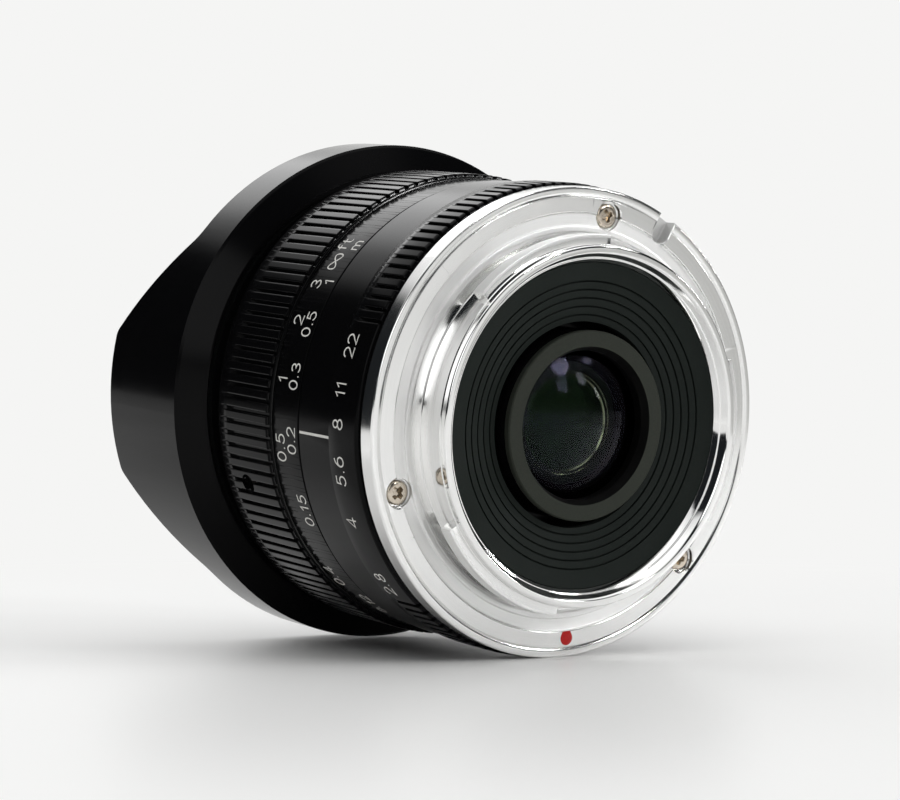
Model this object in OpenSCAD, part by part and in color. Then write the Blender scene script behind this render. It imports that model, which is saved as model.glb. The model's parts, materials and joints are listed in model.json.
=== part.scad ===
// Manual fisheye lens with a fixed petal hood, a focus ring, an aperture ring, a working iris
// and a bayonet mount.
// The optical axis lies along Y, the mount face is at y = 0 and the front looks to -Y.
// The top of the lens, where the index line is, looks to +X. Angles turn about +Y from there.

/* [Mount] */
// Outside radius of the mount flange and of the fixed index band
flange_r = 28.1; // [27.4:0.1:30]
// Thickness of the mount flange
flange_t = 2.2; // [2:0.1:3]
// Outside radius of the three bayonet tabs
tab_r = 22.65; // [22.2:0.05:23.2]
// Outside radius of the bayonet neck between the tabs and the flange
neck_r = 21.2; // [20.8:0.05:21.5]
// Gap between the mount face and the tabs
tab_gap = 2.1; // [1.6:0.1:2.6]
// Thickness of the tabs
tab_t = 1.9; // [1.4:0.1:2.4]
// Height of the bayonet rim behind the tabs
rim_lip = 1; // [0.6:0.1:1.6]
// Wall of the bayonet neck round the baffle
neck_wall = 1.85; // [1.6:0.05:2.3]
// Distance of the mount screws from the outside of the tube that they go into
screw_edge = 1.4; // [1.2:0.05:1.9]

/* [Aperture ring] */
// Height of the aperture ring above the flange
aperture_step = 0.3; // [-0.3:0.05:1.9]
// Wall of the aperture ring
aperture_wall = 2; // [1.6:0.1:2.4]
// Length of the aperture ring
aperture_len = 5.8; // [5.3:0.1:8]
// Gap between the flange and the aperture ring
mount_gap = 0.6; // [0.5:0.1:2.5]
// Number of ribs in a full turn of the aperture ring
aperture_ribs = 122; // [80:1:126]
// Ring turn from the pictured stop to the widest stop, degrees
open_turn = 38.4; // [30:0.2:42]
// Ring turn from the pictured stop to the smallest stop, degrees
close_turn = 22.3; // [18:0.1:26]

/* [Barrel] */
// Wall of the tube under the focus ring
tube_wall = 2.4; // [2:0.1:2.7]
// Length of the index band
band_len = 6.8; // [5:0.1:12]

/* [Focus ring] */
// Depth of the focus ring below the index band
focus_step = 0.2; // [-1.5:0.05:0.7]
// Wall of the focus ring
focus_wall = 2.5; // [2.1:0.1:3.1]
// Length of the distance scale
scale_len = 5.6; // [4:0.1:10]
// Height of the grip above the focus ring's body
grip_rise = 0.75; // [0.3:0.05:1.2]
// Length of the ribbed grip
grip_len = 9; // [7:0.1:16]
// Length of the smooth lip in front of the grip
lip_len = 3.6; // [2.8:0.1:5]
// Number of grip ribs in a full turn
focus_ribs = 121; // [80:1:126]
// Depth of the grooves between ribs
rib_depth = 0.5; // [0.3:0.05:0.6]
// Width of the grooves between ribs
rib_groove = 0.46; // [0.3:0.02:0.7]
// Ring turn from the pictured distance to the nearest one, degrees
near_turn = 47; // [36:0.5:52]
// Ring turn from the pictured distance to infinity, degrees
far_turn = 43.8; // [36:0.2:52]
// Carriage travel for one radian of focus turn
focus_lead = 0.504; // [0.3:0.004:0.6]

/* [Hood] */
// Outside radius of the hood
hood_r = 31.6; // [31.2:0.1:35]
// Wall of the hood
hood_wall = 1.2; // [0.8:0.1:2]
// Gap between the barrel and the hood
hood_gap = 0.9; // [0.8:0.1:2]
// Thickness of the hood's base
hood_base = 3.7; // [3:0.1:6]
// Height of the low rim above the hood's floor
rim_len = 4.9; // [4:0.1:9]
// Height of the petals above the low rim
petal_len = 9.5; // [6:0.1:14]
// Half angle of the petal tip, degrees
petal_tip = 16.3; // [10:0.1:22]
// Half angle of the petal foot, degrees
petal_foot = 42; // [36:0.5:48]

/* [Optics] */
// Radius of the front element
front_r = 20.8; // [19.6:0.1:21]
// Radius of the second element
second_r = 15.5; // [14.8:0.1:16.4]
// Radius of the third element
third_r = 9.5; // [9.2:0.1:10.4]
// Radius of the fourth element
fourth_r = 8.5; // [8.2:0.1:8.9]
// Radius of the pairs in front of and behind the stop
pair_r = 7; // [6.8:0.1:7.2]
// Radius of the ninth element
ninth_r = 8; // [7.8:0.1:8.4]
// Radius of the rear element
rear_r = 9.2; // [9:0.1:9.8]

/* [Iris] */
// Stop radius at the widest setting
stop_open_r = 4.6; // [4.2:0.05:4.8]
// Stop radius at the smallest setting
stop_closed_r = 0.6; // [0.4:0.05:1.2]
// Thickness of an iris blade
blade_t = 0.1; // [0.06:0.01:0.14]

/* [Hidden] */
$fn = 96;
// Clearances: running fits, seats that stay put, and small pins
fit = 0.05;
seat = 0.02;
play = 0.03;
run_gap = 0.1;
edge = 0.15;
// Mount details
screw_angles = [13.5, 132.9, 255.2];
tab_angles = [[26.5, 76.5], [144, 196], [261, 312]];
notch_angle = 236.7;
notch_half = 1.2;
drop_angle = 88.3;
drop_depth = 0.25;
screw_r = 0.8;
screw_len = 5.9;
head_r = 1.45;
head_t = 0.75;
head_sink = 0.4;
tab_y = tab_gap + tab_t;
mount_rim_y = tab_y + rim_lip;
throat_y = tab_y - 0.6;
ledge_y = 0.6 - flange_t;
throat_r = neck_r - neck_wall;
// Radii of the rings, and of the barrel inside them
band_r = flange_r;
aperture_r = band_r + aperture_step;
focus_r = band_r - focus_step;
grip_r = focus_r + grip_rise;
rear_tube_r = aperture_r - aperture_wall;
tube_r = focus_r - focus_wall;
bore_r = tube_r - tube_wall;
screw_circle_r = rear_tube_r - screw_edge;
// Places along the axis, from the mount forward
mount_y = -flange_t;
aperture_rear_y = mount_y - mount_gap;
aperture_front_y = aperture_rear_y - aperture_len;
band_rear_y = aperture_front_y - run_gap;
band_front_y = band_rear_y - band_len;
focus_rear_y = band_front_y - 0.25;
scale_front_y = focus_rear_y - scale_len;
grip_rear_y = scale_front_y - 0.55;
grip_front_y = grip_rear_y - grip_len;
focus_front_y = grip_front_y - lip_len;
tube_front_y = focus_front_y - run_gap - 0.8;
hood_rear_y = tube_front_y - hood_gap;
hood_floor_y = hood_rear_y - hood_base;
rim_y = hood_floor_y - rim_len;
petal_y = rim_y - petal_len;
// Focus drive: dog screws in the ring run in tilted grooves of the carriage
far_travel = focus_lead * far_turn * PI / 180;
near_travel = focus_lead * near_turn * PI / 180;
dog_angle = 15.7;
dog_y = grip_front_y + 2.9;
dog_r = 0.98;
dog_head_r = 1.2;
groove_floor_r = bore_r - 1.2;
groove_tilt = asin(focus_lead * PI / 4 / ((bore_r - 0.6) * sin(45)));
dog_ends = asin(dog_r / groove_floor_r) + 0.6;
// Guide keys
key_angles = [90, 270];
key_y1 = band_front_y - 1.5;
key_y0 = key_y1 - 5;
key_y = (key_y0 + key_y1) / 2;
key_half = 1.8;
key_r = bore_r - 1.4;
key_head_y = tube_r - 1;
key_head_r = 1.4;
// Aperture drive pin
pin_angle = 190;
pin_y = aperture_rear_y - 2.4;
pin_r = 0.8;
pin_in_r = 8.65;
pin_out_r = aperture_r - 0.95;
pin_foot_r = 1;
// Iris, from the pin forward
blade_count = 7;
blade_gap = 0.04;
blade_pitch = blade_t + blade_gap;
blade_pin_r = 0.3;
blade_band = 3.4;
pivot_margin = 2.2;
pivot_r = stop_open_r + blade_band + pivot_margin;
arm_angle = 20;
housing_margin = 2.8;
housing_r = pivot_r + housing_margin;
drive_in_r = 8.4;
snap_y1 = pin_y - pin_r - far_travel - run_gap;
snap_t = 0.6;
snap_y0 = snap_y1 - snap_t;
drive_t = 1;
drive_y1 = snap_y0 - run_gap;
drive_y0 = drive_y1 - drive_t;
web_gap = 0.2;
web_y = drive_y0 - web_gap - blade_count * blade_pitch;
swing = 2 * asin((stop_open_r - stop_closed_r) / (2 * pivot_r));
iris_ratio = swing / (open_turn + close_turn);
blade_rest = iris_ratio * open_turn;
pivot = [pivot_r, 0];
arm = [pivot_r * cos(arm_angle) - pivot_r, -pivot_r * sin(arm_angle)];
// Rear cell, behind the pin
cell_y0 = pin_y + pin_r + near_travel + edge;
cell_y1 = cell_y0 + 1.15;
cell_r = rear_r + 2.1;
cell_nose_r = pair_r + 1.15;
rear_y = 3.5;
rear_ring_y = rear_y - 0.9;
baffle_in_r = cell_r + 0.95;
baffle_r = throat_r - fit;
// Seats of the elements in the carriage, counted from the hood and from the iris
front_seat_depth = 1.8;
second_seat_depth = 6.6;
third_seat_depth = 6.1;
pair_seat_depth = 2.4;
fourth_seat_depth = 7.05;
front_seat_y = hood_floor_y + front_seat_depth;
second_seat_y = front_seat_y + second_seat_depth;
third_seat_y = second_seat_y + third_seat_depth;
pair_seat_y = web_y - pair_seat_depth;
fourth_seat_y = pair_seat_y - fourth_seat_depth;
// Curves of the elements, and the hollows behind the two front ones
front_curve = 30;
front_hollow = 13.5;
front_t = 2.4;
nose_len = 1.6;
nose_r = front_r + 2.6;
nose_y = hood_floor_y - nose_len;
front_ring_r = front_r - 1.05;
front_pole_y = nose_y + seat - sag(front_curve, front_ring_r);
front_hollow_y = front_pole_y + front_t;
second_curve = 22;
second_hollow = 9;
second_hollow_depth = 6.5;
second_t = 1.4;
second_hollow_y = second_seat_y - second_hollow_depth;
second_pole_y = second_hollow_y - second_t;
third_len = 4.6;
third_dish = 1.1;
third_hollow_depth = 2.1;
third_y0 = third_seat_y - third_len;
third_front_curve = 40;
third_hollow = 14;
fourth_front_curve = 14;
fourth_rear_curve = 20;
fourth_rear_y = fourth_seat_y - seat + sag(fourth_rear_curve, pair_r + fit);
fourth_t = 7;
fourth_front_y = fourth_rear_y - fourth_t;
fifth_curve = 12;
bond_curve = 20;
sixth_t = 1;
fifth_t = 4.1;
bond_y = pair_seat_y - sixth_t;
fifth_front_y = bond_y - fifth_t;
stop_ring_r = pair_r - 0.8;
cell_front_y = -5.9;
seventh_len = 2.9;
rear_bond_curve = 11;
rear_bond_y = -5;
eighth_curve = 20;
eighth_y = -0.6;
ninth_seat_y = -1;
ninth_front_curve = 25;
ninth_curve = 18;
ninth_y = 1.3;
rear_seat_y = 0.2;
rear_hollow = 16;
rear_curve = 24;
rear_pole_y = 3;

function sag(curve, r) = curve - sqrt(curve * curve - r * r);
function turned(v, a) = [v.x * cos(a) - v.y * sin(a), v.x * sin(a) + v.y * cos(a)];
// Place of a blade's drive pin, seen from the drive ring when the ring has turned by a
function cam_point(a) = turned(pivot + turned(arm, blade_rest + iris_ratio * a), -a);
function cam_side(a, w) =
    let (d = cam_point(a + 0.5) - cam_point(a - 0.5))
    cam_point(a) + w * [-d.y, d.x] / norm(d);
function unit(v) = v / norm(v);
function wrapped(a) = a > 180 ? a - 360 : a < -180 ? a + 360 : a;
// Points of an arc of radius r that rounds the corner b between a and c
function rounded(a, b, c, r, n) =
    let (u = unit(a - b), v = unit(c - b), half = acos(u * v) / 2)
    let (m = b + unit(u + v) * r / sin(half))
    let (s = b + u * r / tan(half) - m, e = b + v * r / tan(half) - m)
    let (a0 = atan2(s.y, s.x), da = wrapped(atan2(e.y, e.x) - a0))
    [for (i = [0 : n]) m + r * [cos(a0 + da * i / n), sin(a0 + da * i / n)]];

black = [0.05, 0.05, 0.055];
matt = [0.035, 0.037, 0.037];
glass = [0.45, 0.55, 0.6, 0.5];
steel = [0.62, 0.6, 0.57];
brass = [0.68, 0.57, 0.3];

// Lays a shape that was made round Z along the optical axis
module on_axis() {
    rotate([-90, 0, 0]) children();
}

module revolved(points) {
    rotate_extrude() polygon(points);
}

module rod(r, y0, y1) {
    translate([0, 0, y0]) cylinder(r = r, h = y1 - y0);
}

module band(r0, r1, y0, y1) {
    difference() {
        rod(r1, y0, y1);
        rod(r0, y0 - 1, y1 + 1);
    }
}

module ball(y, r) {
    translate([0, 0, y]) sphere(r = r);
}

// Part of a band, from angle a0 to a1
module sector(a0, a1, r0, r1, y0, y1) {
    rotate([0, 0, a0])
        rotate_extrude(angle = a1 - a0)
            translate([r0, y0]) square([r1 - r0, y1 - y0]);
}

// Round pin that points away from the axis
module spoke(a, y, r0, r1, r) {
    rotate([0, 0, a])
        translate([r0, 0, y])
            rotate([0, 90, 0]) cylinder(r = r, h = r1 - r0);
}

// Ring with grooves between ribs, from angle a0 to a1
module ribbed(r, r_in, y0, y1, count, a0, a1) {
    translate([0, 0, y0])
        linear_extrude(height = y1 - y0)
            difference() {
                circle(r = r);
                circle(r = r_in);
                for (a = [a0 : 360 / count : a1])
                    rotate(a) translate([r - rib_depth, -rib_groove / 2]) square([2, rib_groove]);
            }
}

module index_groove() {
    translate([band_r - 0.2, -0.16, band_front_y + 0.25])
        cube([1, 0.32, band_len - 0.45]);
}

module main_barrel() {
    color(black)
    on_axis()
    difference() {
        revolved([[bore_r, tube_front_y], [tube_r, tube_front_y], [tube_r, band_front_y],
            [band_r - edge, band_front_y], [band_r, band_front_y + edge],
            [band_r, band_rear_y - edge], [band_r - edge, band_rear_y],
            [rear_tube_r, band_rear_y], [rear_tube_r, mount_y], [bore_r, mount_y]]);
        for (i = [0 : 2])
            sector(dog_angle + 120 * i - near_turn - dog_ends, dog_angle + 120 * i + far_turn + dog_ends,
                bore_r - 1, tube_r + 1, dog_y - dog_r - edge, dog_y + dog_r + edge);
        sector(pin_angle - open_turn - 2.8, pin_angle + close_turn + 2.8,
            bore_r - 1, rear_tube_r + 1, pin_y - pin_r - edge, pin_y + pin_r + edge);
        for (a = screw_angles)
            rotate([0, 0, a]) translate([screw_circle_r, 0, 0])
                rod(screw_r + seat, -head_t - head_sink - screw_len - 1, 1);
        for (a = key_angles) {
            spoke(a, key_y, bore_r - 1, tube_r + 1, screw_r + seat);
            spoke(a, key_y, key_head_y, tube_r + 1, key_head_r + fit);
        }
        index_groove();
    }
}

module index_line() {
    color([0.92, 0.92, 0.9])
    on_axis()
    intersection() {
        index_groove();
        rod(band_r, band_front_y, band_rear_y);
    }
}

// Drop of red paint in its pocket on the mount face
module index_drop(y0, y1) {
    c = flange_r - 2.25;
    bulb = [for (i = [0 : 20]) [c, 0] + 0.86 * [cos(12 * i - 120), sin(12 * i - 120)]];
    translate([0, 0, y0])
        linear_extrude(height = y1 - y0)
            rotate(drop_angle) polygon(concat([[c - 0.87, 0.55], [c - 0.87, -0.55]], bulb));
}

module mount_ring() {
    face = flange_r - neck_r;
    outer_step_r = neck_r + 0.543 * face;
    inner_step_r = neck_r + 0.333 * face;
    foot_step_r = neck_r + 0.212 * face;
    line_r = flange_r - 0.9;
    color([0.86, 0.86, 0.87])
    on_axis()
    difference() {
        union() {
            revolved([[throat_r - 0.75, mount_y], [flange_r, mount_y], [flange_r, -0.18],
                [flange_r - 0.18, 0], [line_r, 0], [line_r - 0.3, -0.22], [line_r - 0.34, 0],
                [outer_step_r, 0], [outer_step_r - 0.1, -0.3], [inner_step_r - 0.05, -0.3],
                [inner_step_r - 0.14, -0.02], [foot_step_r + 0.08, -0.02], [foot_step_r - 0.04, -0.26],
                [neck_r, -0.26], [neck_r, tab_gap], [neck_r + 0.3, tab_gap], [neck_r + 0.3, tab_y],
                [neck_r + 0.2, tab_y + 0.1], [neck_r + 0.2, mount_rim_y - edge], [neck_r + 0.05, mount_rim_y],
                [neck_r - 0.65, mount_rim_y], [neck_r - 0.85, mount_rim_y - 0.2],
                [throat_r + 0.6, tab_y + 0.1], [throat_r + 0.4, tab_y + 0.1], [throat_r, throat_y],
                [throat_r, ledge_y], [throat_r - 0.75, ledge_y]]);
            for (t = tab_angles)
                sector(t[0], t[1], neck_r - 0.2, tab_r, tab_gap, tab_y);
        }
        for (a = screw_angles)
            rotate([0, 0, a]) translate([screw_circle_r, 0, 0]) {
                rod(screw_r + fit, mount_y - 1, 1);
                rod(head_r + 0.3, -head_t - head_sink, 1);
            }
        rotate([0, 0, notch_angle]) translate([flange_r - 2.2, 0, 0]) {
            rod(notch_half, 0.5 - flange_t, 1);
            translate([0, -notch_half, 0.5 - flange_t]) cube([5, 2 * notch_half, flange_t + 1]);
        }
        index_drop(-drop_depth, 1);
    }
}

module mount_index() {
    color([0.62, 0.05, 0.05])
    on_axis() index_drop(-drop_depth, 0);
}

// Pan-head screw with a cross recess
module mount_screw(i) {
    color(steel)
    on_axis()
    rotate([0, 0, screw_angles[i]]) translate([screw_circle_r, 0, -head_sink]) difference() {
        union() {
            rod(screw_r, -head_t - screw_len, -head_t + fit);
            rod(head_r - 0.2, -0.3, 0);
            rod(head_r, -head_t, -0.2);
        }
        for (t = [30, 120])
            rotate([0, 0, t]) translate([-screw_r, -0.19, -0.55]) cube([2 * screw_r, 0.38, 1]);
    }
}

module mount_screw_1() {
    mount_screw(0);
}

module mount_screw_2() {
    mount_screw(1);
}

module mount_screw_3() {
    mount_screw(2);
}

// Shallow funnel round the rear cell with fine light-trap grooves
module rear_baffle() {
    drop = 1.5;
    wall = 1.1;
    slope = drop / (baffle_r - baffle_in_r);
    inner_margin = 0.7;
    outer_margin = 2.35;
    pitch = (baffle_r - baffle_in_r - inner_margin - outer_margin) / 4;
    color(matt)
    on_axis()
    difference() {
        revolved([[baffle_in_r, throat_y - drop - wall], [baffle_r - wall, throat_y - wall - 0.3],
            [baffle_r - wall, ledge_y], [baffle_r, ledge_y], [baffle_r, throat_y],
            [baffle_in_r, throat_y - drop]]);
        for (i = [0 : 4]) {
            r = baffle_in_r + inner_margin + pitch * i;
            band(r, r + 0.22, throat_y - drop + slope * (r - baffle_in_r) - 0.3, throat_y + 1);
        }
    }
}

module aperture_retaining_ring() {
    color(matt)
    on_axis() band(rear_tube_r + seat, aperture_r - 1.1, aperture_rear_y + run_gap, mount_y);
}

module focus_retaining_ring() {
    color(matt)
    on_axis() band(tube_r + seat, focus_r - 0.9, tube_front_y, focus_front_y - run_gap);
}

module guide_key(a) {
    color(brass)
    on_axis()
    difference() {
        intersection() {
            rotate([0, 0, a])
                translate([key_r, -key_half, key_y0]) cube([3, 2 * key_half, key_y1 - key_y0]);
            rod(bore_r - seat, key_y0 - 1, key_y1 + 1);
        }
        spoke(a, key_y, key_r - 1, bore_r + 1, screw_r + seat);
    }
}

module guide_key_1() {
    guide_key(key_angles[0]);
}

module guide_key_2() {
    guide_key(key_angles[1]);
}

module key_screw(a) {
    color(steel)
    on_axis()
    difference() {
        union() {
            spoke(a, key_y, key_r + 0.3, key_head_y + 0.1, screw_r);
            spoke(a, key_y, key_head_y, tube_r - 0.2, key_head_r);
        }
        rotate([0, 0, a]) translate([tube_r - 0.6, -0.2, key_y - 2]) cube([1, 0.4, 4]);
    }
}

module key_screw_1() {
    key_screw(key_angles[0]);
}

module key_screw_2() {
    key_screw(key_angles[1]);
}

module focus_ring() {
    in_r = tube_r + fit;
    scale_r = focus_r + 0.05;
    bead_r = focus_r + grip_rise / 2;
    color(black)
    on_axis()
    difference() {
        union() {
            revolved([[in_r, focus_front_y], [focus_r - 0.7, focus_front_y],
                [focus_r - 0.2, focus_front_y + 1], [grip_r, focus_front_y + 1.7],
                [grip_r, grip_front_y], [in_r, grip_front_y]]);
            ribbed(grip_r, in_r, grip_front_y, grip_rear_y, focus_ribs, 0.14, 359);
            revolved([[in_r, grip_rear_y], [focus_r, grip_rear_y], [focus_r, grip_rear_y + 0.15],
                [bead_r, grip_rear_y + 0.15], [bead_r, grip_rear_y + 0.35],
                [focus_r - 0.2, grip_rear_y + 0.35], [focus_r - 0.2, scale_front_y - 0.05],
                [scale_r, scale_front_y], [scale_r, focus_rear_y - edge],
                [scale_r - edge, focus_rear_y], [in_r, focus_rear_y]]);
        }
        for (i = [0 : 2])
            spoke(dog_angle + 120 * i, dog_y, tube_r - 1, grip_r + 1, dog_head_r + seat);
    }
}

module dog_screw(i) {
    a = dog_angle + 120 * i;
    top_r = grip_r - 1.2;
    color(steel / 5)
    on_axis()
    difference() {
        union() {
            spoke(a, dog_y, groove_floor_r + edge, tube_r + 0.4, dog_r);
            spoke(a, dog_y, tube_r + 0.2, top_r, dog_head_r);
        }
        rotate([0, 0, a]) translate([top_r - 0.5, -0.2, dog_y - 2]) cube([2, 0.4, 4]);
    }
}

module dog_screw_1() {
    dog_screw(0);
}

module dog_screw_2() {
    dog_screw(1);
}

module dog_screw_3() {
    dog_screw(2);
}

// The ribs leave out the window with the stop numbers
module aperture_ring() {
    in_r = rear_tube_r + fit;
    rib_front_y = aperture_front_y + 1.55;
    color(black)
    on_axis()
    difference() {
        union() {
            revolved([[in_r, aperture_front_y], [aperture_r - 0.1, aperture_front_y],
                [aperture_r, aperture_front_y + 0.1], [aperture_r, rib_front_y], [in_r, rib_front_y]]);
            ribbed(aperture_r, in_r, rib_front_y, aperture_rear_y, aperture_ribs, 44.78, 331.1);
        }
        spoke(pin_angle, pin_y, rear_tube_r - 1, pin_out_r + fit, pin_foot_r + seat);
    }
}

module aperture_pin() {
    color(steel)
    on_axis() {
        spoke(pin_angle, pin_y, pin_in_r, rear_tube_r + 0.3, pin_r);
        spoke(pin_angle, pin_y, rear_tube_r + 2 * fit, pin_out_r, pin_foot_r);
    }
}

// Sliding tube that holds all the optics, the iris and the hood
module carriage() {
    shell_r = bore_r - 2.7;
    core_r = housing_r + 2;
    shell_y = web_y - 0.2;
    pocket_y = third_seat_y - 3.1;
    shoulder_y = hood_rear_y + 0.3;
    color(black)
    on_axis()
    difference() {
        revolved([[front_r + fit, nose_y], [nose_r, nose_y], [nose_r, shoulder_y],
            [bore_r - fit, shoulder_y], [bore_r - fit, shell_y], [shell_r, shell_y],
            [shell_r, pocket_y], [core_r, pocket_y], [core_r, cell_y1], [housing_r, cell_y1],
            [housing_r, web_y], [stop_open_r + 1.4, web_y], [stop_open_r + 1.4, pair_seat_y],
            [pair_r + fit, pair_seat_y], [pair_r + fit, fourth_seat_y],
            [fourth_r + fit, fourth_seat_y], [fourth_r + fit, third_seat_y],
            [third_r + fit, third_seat_y], [third_r + fit, second_seat_y],
            [second_r + fit, second_seat_y], [second_r + fit, front_seat_y],
            [front_r + fit, front_seat_y]]);
        for (i = [0 : 2])
            translate([0, 0, dog_y])
                rotate([0, 0, dog_angle + 120 * i])
                    rotate([-groove_tilt, 0, 0])
                        sector(-near_turn - dog_ends, far_turn + dog_ends, groove_floor_r, bore_r + 2,
                            -dog_r - 0.06, dog_r + 0.06);
        for (a = key_angles)
            rotate([0, 0, a])
                translate([key_r - run_gap, -key_half - play, key_y0 - far_travel - 0.2])
                    cube([3, 2 * (key_half + play), key_y1 - key_y0 + far_travel + near_travel + 0.4]);
        for (i = [0 : blade_count - 1])
            rotate([0, 0, 360 / blade_count * i]) translate([pivot_r, 0, 0])
                rod(blade_pin_r + play, web_y - 0.9, web_y + 1);
        sector(pin_angle - open_turn - 4, pin_angle + close_turn + 4,
            housing_r - 1, core_r + 1, snap_y1, cell_y1 + 1);
    }
}

// Side view that gives the two petals their outline
module petal_outline() {
    foot = hood_r * sin(petal_foot);
    tip = hood_r * sin(petal_tip);
    side = hood_r + 1;
    f = [foot, rim_y];
    t = [tip, petal_y];
    half = concat([[side, 0], [side, rim_y]], rounded([side, rim_y], f, t, 3, 6),
        rounded(f, t, [-tip, petal_y], 1.6, 6));
    other = [for (i = [len(half) - 1 : -1 : 0]) [-half[i].x, half[i].y]];
    polygon(concat(half, other));
}

module hood() {
    in_r = hood_r - hood_wall;
    back_r = focus_r + 0.5;
    color(black)
    on_axis()
    intersection() {
        revolved([[nose_r + seat, hood_rear_y], [back_r - 0.2, hood_rear_y],
            [back_r, hood_rear_y - 0.08], [hood_r - 0.3, hood_rear_y - 1.9],
            [hood_r, hood_rear_y - 2.15], [hood_r, petal_y], [in_r, petal_y],
            [in_r, hood_floor_y - 0.6], [in_r - 0.6, hood_floor_y], [nose_r + seat, hood_floor_y]]);
        rotate([0, -90, 0]) rotate([0, 0, -90])
            translate([0, 0, -hood_r - 1]) linear_extrude(height = 2 * hood_r + 2) petal_outline();
    }
}

module front_retaining_ring() {
    out_r = nose_r + 1.4;
    under_y = nose_y - seat;
    color(black)
    on_axis()
    revolved([[front_ring_r, under_y], [nose_r + seat, under_y],
        [nose_r + seat, hood_floor_y - seat], [out_r, hood_floor_y - seat], [out_r, under_y - 0.7],
        [out_r - 0.3, under_y - 1], [front_ring_r + 0.85, under_y - 1], [front_ring_r, under_y - 0.3]]);
}

module front_element() {
    color(glass)
    on_axis()
    difference() {
        intersection() {
            rod(front_r, front_pole_y, front_seat_y);
            ball(front_pole_y + front_curve, front_curve);
        }
        ball(front_hollow_y + front_hollow, front_hollow);
    }
}

module second_element() {
    color(glass)
    on_axis()
    difference() {
        intersection() {
            rod(second_r, second_pole_y, second_seat_y);
            ball(second_pole_y + second_curve, second_curve);
        }
        ball(second_hollow_y + second_hollow, second_hollow);
    }
}

module third_element() {
    color(glass)
    on_axis()
    difference() {
        rod(third_r, third_y0, third_seat_y);
        ball(third_y0 + third_dish - third_front_curve, third_front_curve);
        ball(third_seat_y - third_hollow_depth + third_hollow, third_hollow);
    }
}

module fourth_element() {
    color(glass)
    on_axis()
    intersection() {
        rod(fourth_r, fourth_front_y, fourth_rear_y);
        ball(fourth_front_y + fourth_front_curve, fourth_front_curve);
        ball(fourth_rear_y - fourth_rear_curve, fourth_rear_curve);
    }
}

module fifth_element() {
    color(glass)
    on_axis()
    intersection() {
        rod(pair_r, fifth_front_y, bond_y);
        ball(fifth_front_y + fifth_curve, fifth_curve);
        ball(bond_y - bond_curve, bond_curve);
    }
}

module sixth_element() {
    color(glass)
    on_axis()
    difference() {
        rod(pair_r, bond_y - sag(bond_curve, pair_r), pair_seat_y);
        ball(bond_y - bond_curve, bond_curve);
    }
}

module front_spacer() {
    in_r = second_r - 1.1;
    color(matt)
    on_axis() band(in_r, second_r, front_seat_y, second_pole_y + sag(second_curve, in_r) - seat);
}

module third_element_ring() {
    color(matt)
    on_axis() band(third_r - 1.2, third_r + seat, second_seat_y + 0.2, third_y0 - seat);
}

module middle_spacer() {
    in_r = fourth_r - 0.9;
    color(matt)
    on_axis() band(in_r, fourth_r, third_seat_y, fourth_front_y + sag(fourth_front_curve, in_r) - seat);
}

module stop_spacer() {
    color(matt)
    on_axis() band(stop_ring_r, pair_r + seat, fourth_rear_y - sag(fourth_rear_curve, stop_ring_r) + seat,
        fifth_front_y + sag(fifth_curve, stop_ring_r) - seat);
}

module iris_snap_ring() {
    color(steel / 5)
    on_axis() band(housing_r - 1.5, housing_r - seat, snap_y0, snap_y1);
}

module rear_cell() {
    nose = cell_front_y - 0.4;
    color(black)
    on_axis()
    revolved([[pair_r - 0.7, nose], [cell_nose_r, nose], [cell_nose_r, cell_y0],
        [housing_r - seat, cell_y0], [housing_r - seat, cell_y1], [cell_r, cell_y1],
        [cell_r, rear_ring_y - seat], [rear_r + fit, rear_ring_y - seat], [rear_r + fit, rear_seat_y],
        [ninth_r + fit, rear_seat_y], [ninth_r + fit, ninth_seat_y], [pair_r + fit, ninth_seat_y],
        [pair_r + fit, cell_front_y], [pair_r - 0.7, cell_front_y]]);
}

module seventh_element() {
    color(glass)
    on_axis()
    difference() {
        rod(pair_r, cell_front_y + seat, cell_front_y + seventh_len);
        ball(rear_bond_y + rear_bond_curve, rear_bond_curve);
    }
}

module eighth_element() {
    color(glass)
    on_axis()
    intersection() {
        rod(pair_r, rear_bond_y, eighth_y);
        ball(rear_bond_y + rear_bond_curve, rear_bond_curve);
        ball(eighth_y - eighth_curve, eighth_curve);
    }
}

module ninth_element() {
    color(glass)
    on_axis()
    difference() {
        intersection() {
            rod(ninth_r, ninth_seat_y, ninth_y);
            ball(ninth_y - ninth_curve, ninth_curve);
        }
        ball(ninth_seat_y + 0.6 - ninth_front_curve, ninth_front_curve);
    }
}

module rear_element() {
    color(glass)
    on_axis()
    difference() {
        intersection() {
            rod(rear_r, rear_seat_y, rear_pole_y);
            ball(rear_pole_y - rear_curve, rear_curve);
        }
        ball(rear_seat_y + 1.3 - rear_hollow, rear_hollow);
    }
}

module rear_retaining_ring() {
    in_r = rear_r - 0.3;
    foot_y = rear_pole_y - sag(rear_curve, in_r) + seat;
    color(steel / 6)
    on_axis()
    revolved([[in_r, foot_y], [rear_r + seat, foot_y], [rear_r + seat, rear_ring_y], [cell_r, rear_ring_y],
        [cell_r, rear_y - edge], [cell_r - edge, rear_y], [in_r + 0.5, rear_y], [in_r, rear_y - 1]]);
}

// Slot that the drive pin of a blade follows while the ring turns
module cam_slot() {
    w = blade_pin_r + play;
    n = 24;
    a0 = -open_turn - 0.5;
    span = open_turn + close_turn + 1;
    outer = [for (i = [0 : n]) cam_side(a0 + span * i / n, w)];
    inner = [for (i = [n : -1 : 0]) cam_side(a0 + span * i / n, -w)];
    polygon(concat(outer, inner));
    translate(cam_point(a0)) circle(r = w, $fn = 32);
    translate(cam_point(a0 + span)) circle(r = w, $fn = 32);
}

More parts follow.
